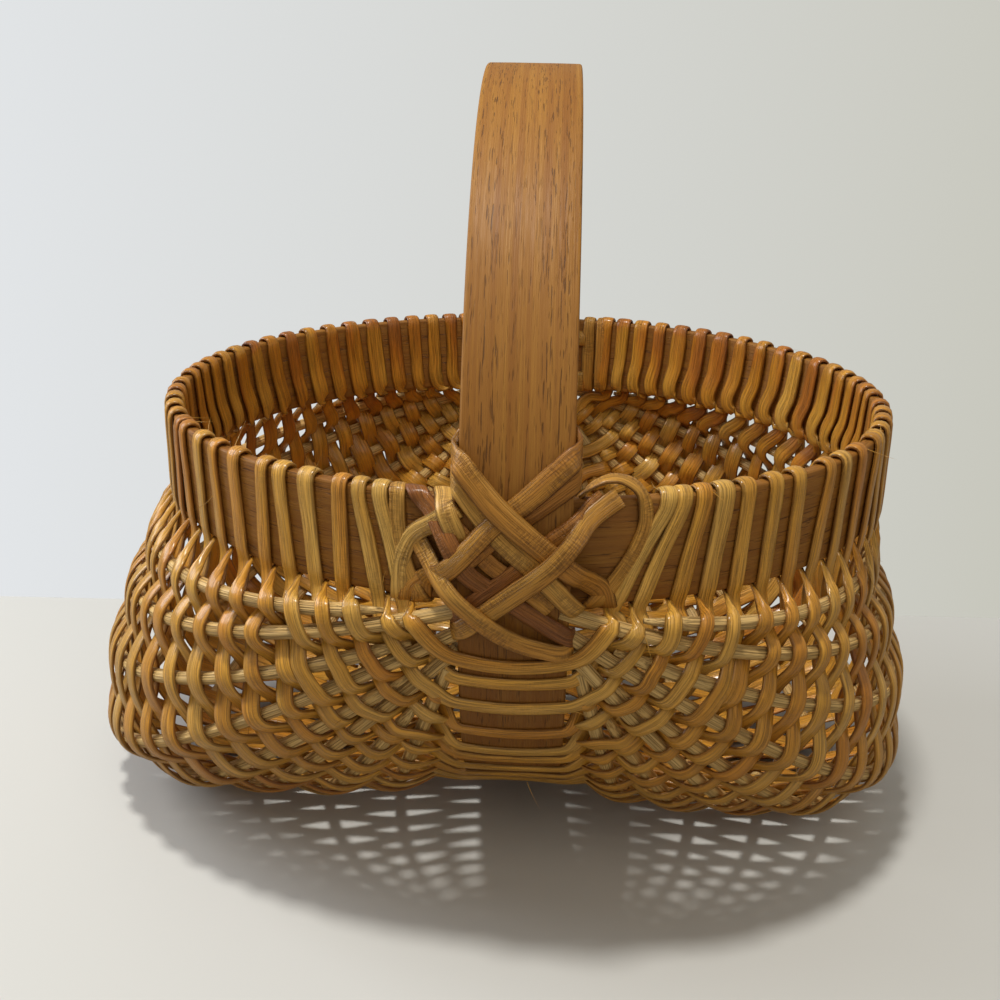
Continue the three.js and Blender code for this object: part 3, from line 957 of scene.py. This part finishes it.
def rim_end(side, row):
    """Stations from a row's end to the rim's lower edge. Even rows come up outside the rim, hook
    over it and go down inside to the turn of the next row. Odd rows begin at that turn."""
    if row % 2 == 1:
        return [pinch(side, row)]
    top = wrap_top(side, row)
    low = wrap_bottom(row)
    spread = row_spread(RIM_LENGTH, row)
    shared = partner(side, row)
    inner_low = turn_place(shared) if shared else top
    if not at_front(row):
        inner_low = top + (RIM_LENGTH - top) * BACK_SLANT
    stations = [pinch(side, shared)] if shared else []
    # painted light and shade of the wraps, by how far along the rim they lie
    wrap_shade = np.interp(top / RIM_LENGTH, WRAP_SHADE_PLACES, WRAP_SHADE_TONES)
    tone = min(tones[row] + wrap_shade, 1.0)
    inner_tone = min(tones[shared] + wrap_shade, 1.0) if shared else tone
    for drift, height in INNER_WRAP:
        place = top + (inner_low - top) * drift
        point, out, _ = rim_point(side, place, RIM_RADIUS - WRAP_STAND, height)
        stations.append((point, -out, False, HOOK_WIDTH * spread, inner_tone * (1 - drift / 2)))
    for face, drift, height in HOOK:
        place = top + (low - top) * drift
        point, out, _ = rim_point(side, place, RIM_RADIUS + face * WRAP_STAND, height)
        stations.append((point, out * face + UP * (1 - abs(face)**3), False, HOOK_WIDTH, tone))
    for drift, height in OUTER_WRAP:
        place = top + (low - top) * drift
        point, out, _ = rim_point(side, place, RIM_RADIUS + WRAP_STAND, height)
        stations.append((point, out, False, WRAP_WIDTH, tone))
    point, out, _ = rim_point(side, low, RIM_RADIUS + LEAVE_STAND, RIM_BOTTOM - LEAVE_DROP)
    stations.append((point, out, False, spread, tone))
    return stations


# %% Rows over ribs and keel
RIB_STAND = RIB_RADIUS + 0.1 + REED_HALF_THICK
KEEL_STAND = HOOP_HALF_THICK + 0.1 + REED_HALF_THICK
THROAT = 0.42  # share of the way from a turn to the first rib
THROAT_LIFT = 0.4
THROAT_FACING = (0.85, 0.5)  # shares of the way the turn faces and the way the rib does
THROAT_WIDTH = (0.32, 0.5)  # a least width, and a share of the turn's
JITTER = 0.8


def keel_crossing(side, row):
    """Where a row crosses an edge of the keel, and which way the keel runs there."""
    angle = math.radians(np.interp(from_end(row), KEEL_ROWS, KEEL_DEGREES))
    end = -1 if at_front(row) else 1
    along = np.array([0, math.sin(angle), end * math.cos(angle)])
    return keel_place(angle, end, side * HOOP_HALF_WIDTH), along


def rib_face(row, number):
    """+1 where a row passes outside a rib. Near the crossings two neighbours count as one rib."""
    rim_face = 1 if row % 2 == 0 else -1
    split = SPLIT_ROW if at_front(row) else BACK_SPLIT_ROW
    order = (number + 1) // 2 if from_end(row) < split else number
    return rim_face if order % 2 == 0 else -rim_face


def throat(turn, crossing):
    """Between a turn under the rim and the first rib, where the reed is still mostly on edge."""
    point = turn[0] * (1 - THROAT) + crossing[0] * THROAT + crossing[1] * THROAT_LIFT
    out = THROAT_FACING[0] * turn[1] + THROAT_FACING[1] * crossing[1]
    return point, out, False, THROAT_WIDTH[0] + THROAT_WIDTH[1] * turn[3], turn[4]


def row_stations(row):
    rng = np.random.default_rng(row)
    keel_face = -1 if row % 2 == 0 else 1
    supports = []
    for side in (-1, 1):
        half = []
        for rib in ribs[side]:
            found = rib.crossing(row, rng.uniform(-JITTER, JITTER))
            if found is not None:
                half.append((*found, RIB_STAND, rib_face(row, rib.number)))
        half.append((*keel_crossing(side, row), 1.0, KEEL_STAND, keel_face))
        supports.append(half if side < 0 else half[::-1])
    supports = supports[0] + supports[1]
    left, right = rim_end(-1, row), rim_end(1, row)
    centres = [left[-1][0]] + [s[0] for s in supports] + [right[-1][0]]
    woven = []
    for k, (centre, along, spread, stand, face) in enumerate(supports):
        across = centres[k + 2] - centres[k]
        out = unit(np.cross(across, along))
        if out.dot(centre - BELLY_CENTRE) < 0:
            out = -out
        woven.append((centre + out * face * stand, out, True, spread, tones[row]))
    if row % 2 == 1:
        left.append(throat(left[-1], woven[0]))
        right.append(throat(right[-1], woven[-1]))
    return left + woven + right[::-1]


# %% [markdown]
# ## Stray fibres
# Reed splits along its fibres, and a few of them stand off the weave. They could be a hair system,
# but that leaves no mesh behind. So each is one more thin sweep, thinning to a point, added to the
# row from which it has split. One longer thread hangs below the keel.

# %% Stray fibre helper
FIBRE_RADIUS = 0.17
FIBRE_LENGTHS = (4, 10)
FIBRE_LIFT, FIBRE_RISE, FIBRE_CURL = 0.1, 0.4, 0.25
FIBRE_SPLAY = (0.2, 0.8)
FIBRE_ROOT = 0.8  # share of the way from the reed's middle to its edge
MOST_FIBRES = 3
THREAD_ROW = 19
THREAD_PLACE = np.array([14.0, -72.0, 31.5])
THREAD_RUN = unit(np.array([0.25, -0.1, -1.0]))
THREAD_BEND = np.array([0.9, -0.4, 0.0])
THREAD_LENGTH = 9.0
THREAD_TONE = 0.1


def stray_fibre(bundle, place, run, out, length, seed, tone):
    t = np.linspace(0, 1, 8)[:, None]
    beside = unit(np.cross(run, out))
    lift = out * (FIBRE_LIFT * t + FIBRE_RISE * t**2)
    path = place + length * (run * t + lift + beside * FIBRE_CURL * t**2)
    radius = FIBRE_RADIUS * (1.05 - t[:, 0])
    sweep(bundle, path, beside, round_section(5), radius, radius, seed, tone)


def fibres_of_row(bundle, row, stations):
    rng = np.random.default_rng(900 + row)
    for k in rng.integers(2, len(stations) - 2, rng.integers(0, MOST_FIBRES + 1)):
        here, out, _, share, tone = stations[k]
        run = unit(stations[k + 1][0] - here)
        beside = unit(np.cross(out, run)) * rng.choice((-1, 1))
        place = here + beside * REED_HALF_WIDTH * share * FIBRE_ROOT
        leave = unit(run * rng.choice((-1, 1)) + beside * rng.uniform(*FIBRE_SPLAY))
        length = rng.uniform(*FIBRE_LENGTHS)
        stray_fibre(bundle, place, leave, unit(out), length, row, tone / 2)
    if row == THREAD_ROW:
        stray_fibre(bundle, THREAD_PLACE, THREAD_RUN, THREAD_BEND, THREAD_LENGTH, row, THREAD_TONE)


# %% Reeds by the strip of the CAD part that they replace
CAD_STRIPS = 26
for band in range(1, CAD_STRIPS + 1):
    bundle = Bundle()
    for row in (r for r in range(1, ROWS + 1) if (r - 1) * CAD_STRIPS // ROWS + 1 == band):
        rng = np.random.default_rng(500 + row)
        stations = row_stations(row)
        ribbon(bundle, stations, REED_HALF_WIDTH * rng.uniform(0.9, 1.1), row)
        fibres_of_row(bundle, row, stations)
    make_piece(f"reed_rows_{band:02d}", bundle, weave_reed, [f"weaver_{band:02d}"])
print("rows of reed:", ROWS)

# %% [markdown]
# ## The lashings
# Where the hoops cross, strips of flat reed are wound corner to corner and woven into each other.
# Each strip is drawn as a line on the face of the crossing: how far right, how far up and how many
# layers deep. The helper lays that line on the handle board, lets it slope down to the rim beside
# the board, and then turns its ends round an edge of one board or the other. A flat decal would
# give the pattern too, but not the thickness or the shadows between the layers.

# %% Lines on the face of a crossing
HANDLE_FACE = HANDLE_RADIUS + HOOP_HALF_THICK
RIM_FACE = RIM_RADIUS + HOOP_HALF_THICK
LASH_HALF_WIDTH = 3.1
LAYER = 1.55
STRIP_STAND = 0.8
FACE_EDGE = 1.0  # a strip begins to slope down to the rim this far beside the handle board
FACE_SLOPE = 8.0
FACE_BULGE, MOST_TILT = 120.0, 0.3  # how fast a strip tilts to the side, and how far
BACK_RISE = 0.62  # the lashing at the back climbs less far up the handle
BACK_GATHER = 0.35  # and lies closer beside it
FACE_SHIFT = HANDLE_TURN * HANDLE_RADIUS  # strips on the handle board move with it
SHIFT_REACH = 30.0
HANDLE_TURNS = (  # beside the middle, along the slope, behind the face, faces (outward, back)
    (17.7, 1.5, 0.6, (1, -0.7)), (17.8, 3.0, 3.2, (1, 0.4)),
    (14.0, 6.0, 5.2, (0, 1)), (6.0, 12.0, 5.4, (0, 1)),
)
RIM_TURNS = (  # share of the lean, from the rim's middle, behind its face, faces (back, up)
    (0.5, 17.1, -0.3, (-0.8, 1)), (1.0, 17.7, 2.0, (0, 1)),
    (1.5, 16.4, 4.9, (1, 0.4)), (3.0, 8.0, 5.2, (1, 0)),
)


def rim_depth(x):
    """Distance of the rim's outer face from the middle of the basket, beside the crossing."""
    return RIM_FACE * math.sqrt(1 - (x / (RIM_FACE * RIM_STRETCH))**2)


def handle_depth(z):
    return math.sqrt(HANDLE_FACE**2 - z * z)


def face_depth(x, z):
    """Distance of the crossing's face from the middle of the basket."""
    share = np.clip((abs(x) - HOOP_HALF_WIDTH - FACE_EDGE) / FACE_SLOPE, 0, 1)
    share = share * share * (3 - 2 * share)
    return handle_depth(z) * (1 - share) + rim_depth(x) * share


def gathered(end, x):
    """The strips at the back are gathered closer to the handle than those at the front."""
    beside = abs(x) - HOOP_HALF_WIDTH
    if end < 0 or beside < 0:
        return x
    return math.copysign(HOOP_HALF_WIDTH + beside * BACK_GATHER, x)


def on_face(end, x, z, layer):
    x = gathered(end, x)
    tilt = np.clip(x / FACE_BULGE, -MOST_TILT, MOST_TILT)
    depth = face_depth(x, z) + STRIP_STAND + LAYER * layer
    return x, z, depth, (tilt, -1, z / HANDLE_FACE)


def round_handle(x, z, slope):
    """Round the nearer edge of the handle board and behind it."""
    side = 1 if x > 0 else -1
    path = []
    for beside, rise, behind, (outward, back) in HANDLE_TURNS:
        height = z + slope * rise
        hint = (side * outward, back, 0)
        path.append((side * beside, height, handle_depth(height) - behind, hint))
    return path


def round_rim(end, x, z, lean):
    """Over the rim's upper edge or under its lower one, whichever is nearer, and down inside."""
    up = 1 if z > 0 else -1
    x = gathered(end, x)
    face = rim_depth(x)
    return [(x + lean * share, up * height, face - behind, (0, back, up * rise))
            for share, height, behind, (back, rise) in RIM_TURNS]


def lash(bundle, end, path, tone, seed, width=1.0):
    """One strip through steps of (right, up, distance from the middle, the way it faces)."""
    stations = []
    for x, z, depth, (hint_x, hint_y, hint_z) in path:
        if end > 0 and z > 0:
            z = z * BACK_RISE
        near = np.clip((SHIFT_REACH - abs(x)) / (SHIFT_REACH - HOOP_HALF_WIDTH), 0, 1)
        point = np.array([HOOP_X - end * (x + FACE_SHIFT * near), end * depth, RIM_Z + z])
        out = np.array([-end * hint_x, -end * hint_y, hint_z])
        stations.append((point, out, False, width, tone))
    ribbon(bundle, stations, LASH_HALF_WIDTH, seed)


# %% The strips of one crossing, from the lowest layer to the top
# Each has its line of (right, up, layer), the turns at its start and its finish, tone and width.
# A turn names the board it goes round and its slope or lean, and its place if it leaves the line.
FALLING = (
    ([(-15.8, 21.5, 0.9), (-11, 15.0, 0.9), (-6, 9.0, 1.1), (0, 3.2, 1.1), (6, -2, 1.1),
      (12, -8.5, 0.9), (17, -14, 0.5), (19.5, -16.4, -0.2)],
     (round_handle, 1.0), None, 0.3, 1.0),
    ([(-15.4, 28.6, 2.2), (-10.7, 22.8, 2.4), (-4.8, 16.2, 2.6), (2.2, 10.0, 2.6),
      (9.2, 4.0, 2.0), (17, -2.6, 1.2), (23.0, -7.9, 0.6), (27.0, -11.6, 0.3)],
     (round_handle, 1.0), (round_rim, 1, 28.5, -12.8), 0.42, 1.12),
    ([(-18, 10, -0.2), (-12.5, 4.5, 0.0), (-6.5, -1.8, 0.1), (0, -6.3, 0.1), (6, -11, 0.0),
      (11, -15.5, -0.1)],
     None, None, 0.55, 1.0),
)
LOWER = (
    ([(-26, 15.4, 0.2), (-23.3, 12.6, 0.5), (-18.3, 4.3, 0.9), (-14, -3.9, 0.6), (-7, -9.5, 0.3),
      (0, -14.1, 0.2), (8, -19.5, 0.2), (15.5, -24.4, 0.2)],
     (round_rim, -2), (round_handle, -0.7), 0.95, 1.0),
    ([(-19.6, 15.2, 0.4), (-18.6, 12, 0.5), (-17, 8, 0.1), (-16, 5, -0.2)],
     (round_rim, -1), None, 0.12, 0.95),
    ([(-28, 3.5, 0.0), (-25.6, -0.3, 0.9), (-18.9, -9.9, 1.6), (-11.1, -17.7, 2.2),
      (-5, -22.6, 1.9), (1.4, -26.6, 1.4), (9, -29.2, 1.0), (14.5, -30.2, 0.8)],
     None, (round_handle, 0.3), 0.4, 1.0),
    ([(-33, 15.2, 0.1), (-33, 8, 0.1), (-32, -1, 0.1), (-29.5, -10, 0.1)],
     (round_rim, 0), (round_rim, 1, -26.5, -14), 0.3, 0.9),
)
RISING = (
    ([(15.6, 23.0, 0.0), (8, 17, 0.1), (0, 11.2, 0.2), (-8, 5, 0.3), (-16, -2, 0.3),
      (-24, -8, 0.1), (-29, -12.5, 0.1)],
     (round_handle, 1.0), (round_rim, -2), 0.62, 1.0),
    ([(15.4, 30.2, 1.2), (10.3, 25.4, 1.2), (3, 18.6, 1.4), (-7, 10.4, 1.5), (-13, 3.6, 1.5),
      (-19.5, -4.1, 1.0), (-25.5, -10, 0.3)],
     (round_handle, 1.0), (round_rim, -2), 0.5, 1.08),
)
UPPER = (
    ([(26.6, 17.6, 0.2), (23.5, 15.4, 0.2), (18, 11.5, 0.3), (12, 7, 0.4), (5, 0.5, 0.5),
      (-2, -6, 0.5), (-9, -12, 0.4), (-15, -17.2, 0.3)],
     None, (round_handle, -0.8), 0.85, 1.0),
    ([(-16.5, 15.4, 0.2), (-22, 10.0, 0.6), (-28.4, 4.0, 0.5), (-31.5, -3, 0.3),
      (-32.5, -11, 0.2)],
     None, (round_rim, 0), 0.2, 1.0),
    ([(31.6, 17.8, 0.7), (28.4, 15.8, 0.9), (22.2, 12.4, 1.4), (17, 7.5, 2.6), (11.8, 1.3, 3.4),
      (6.5, -3.8, 3.2), (1.4, -8.4, 2.4), (-8.7, -17.5, 1.4), (-12.8, -21.2, 1.0),
      (-15.6, -23.4, 0.6)],
     None, (round_handle, -0.5), 0.4, 1.12),
)


def turned(end, turn, line_end):
    """The steps with which a strip leaves the face of the crossing, if it does."""
    if turn is None:
        return []
    way, lean, *place = turn
    x, z = place or line_end[:2]
    return way(x, z, lean) if way is round_handle else way(end, x, z, lean)


def lay_strips(bundle, end, strips, seed):
    for k, (line, start, finish, tone, width) in enumerate(strips):
        path = turned(end, start, line[0])[::-1]
        path += [on_face(end, *step) for step in line]
        path += turned(end, finish, line[-1])
        lash(bundle, end, path, tone, seed + k, width)


# %% The loose loop, the inside of the lashing and the wraps beside the back one
LOOP = (  # right, up, in front of the rim's face, the way it faces
    (18.5, 16.8, -1.5, (-0.6, 0.4, 0.6)), (23.0, 20.6, -2.0, (-0.4, 0, 0.9)),
    (30.5, 22.4, -1.8, (0.1, -0.2, 1)), (36.8, 19.6, -0.4, (0.8, -0.5, 0.6)),
    (39.6, 13.0, 0.9, (0.5, -1, 0.1)), (39.0, 5.0, 1.0, (0.3, -1, 0)),
    (34.0, -5.5, 1.0, (0.25, -1, 0)), (27.0, -13.8, 1.0, (0.2, -1, 0)),
)
LOOP_END = (23.5, -14, -2)  # right, up, lean
LOOP_TONE, LOOP_WIDTH = 0.42, 0.86
INNER_REACH, INNER_RISE = 17.0, 15.2
INNER_STAND = 2 * HOOP_HALF_THICK + 0.9
BACK_WRAPS = (24.5, 30.5)  # from the back crossing, along the rim
WRAP_LOOP = (  # in front of the rim's middle, above it, faces (out, up)
    (0, -17.5, (0, -1)), (-2.7, -15.5, (-1, -0.4)), (-2.9, 0, (-1, 0)), (-2.6, 15.8, (-1, 0.5)),
    (0, 17.5, (0, 1)), (2.6, 15.8, (1, 0.5)), (2.9, 0, (1, 0)), (2.7, -15.5, (1, -0.4)),
    (0, -17.6, (0, -1)),
)


def loose_loop(bundle, end, seed):
    path = []
    for x, z, off, hint in LOOP:
        x = gathered(end, x)
        path.append((x, z, rim_depth(x) + off, hint))
    lash(bundle, end, path + round_rim(end, *LOOP_END), LOOP_TONE, seed, LOOP_WIDTH)


def inner_cross(bundle, end, seed):
    for layer, side in enumerate((1, -1)):
        path = []
        for share in np.linspace(-1, 1, 7):
            x, z = side * share * INNER_REACH, -share * INNER_RISE
            path.append((x, z, rim_depth(x) - INNER_STAND - LAYER * layer, (0, 1, 0)))
        lash(bundle, end, path, 0.4 + 0.2 * layer, seed + layer)


def plain_wraps(bundle, end, seed):
    """Plain turns round the rim, which fill it from the back lashing to the first rows."""
    for side in (-1, 1):
        for k, distance in enumerate(BACK_WRAPS if end > 0 else ()):
            place = RIM_LENGTH - distance
            stations = []
            for off, height, (outward, up) in WRAP_LOOP:
                point, out, _ = rim_point(side, place, RIM_RADIUS + off, RIM_Z + height)
                stations.append((point, out * outward + UP * up, False, 0.9, 0.3 + 0.1 * k))
            ribbon(bundle, stations, LASH_HALF_WIDTH, seed + 10 * side + k)


# %% Lashings for both crossings
TIES = ((FALLING, inner_cross), (LOWER, plain_wraps), (RISING, None), (UPPER, loose_loop))
for end, end_name in ((-1, "front"), (1, "back")):
    for turn, (strips, extra) in enumerate(TIES, 1):
        bundle = Bundle()
        seed = 200 + 40 * (end > 0) + 10 * turn
        lay_strips(bundle, end, strips, seed)
        if extra:
            extra(bundle, end, seed + 5)
        make_piece(f"{end_name}_tie_{turn}", bundle, lashing_reed,
                   [f"lashing_{end_name}_{turn}"])
print("lashings made")
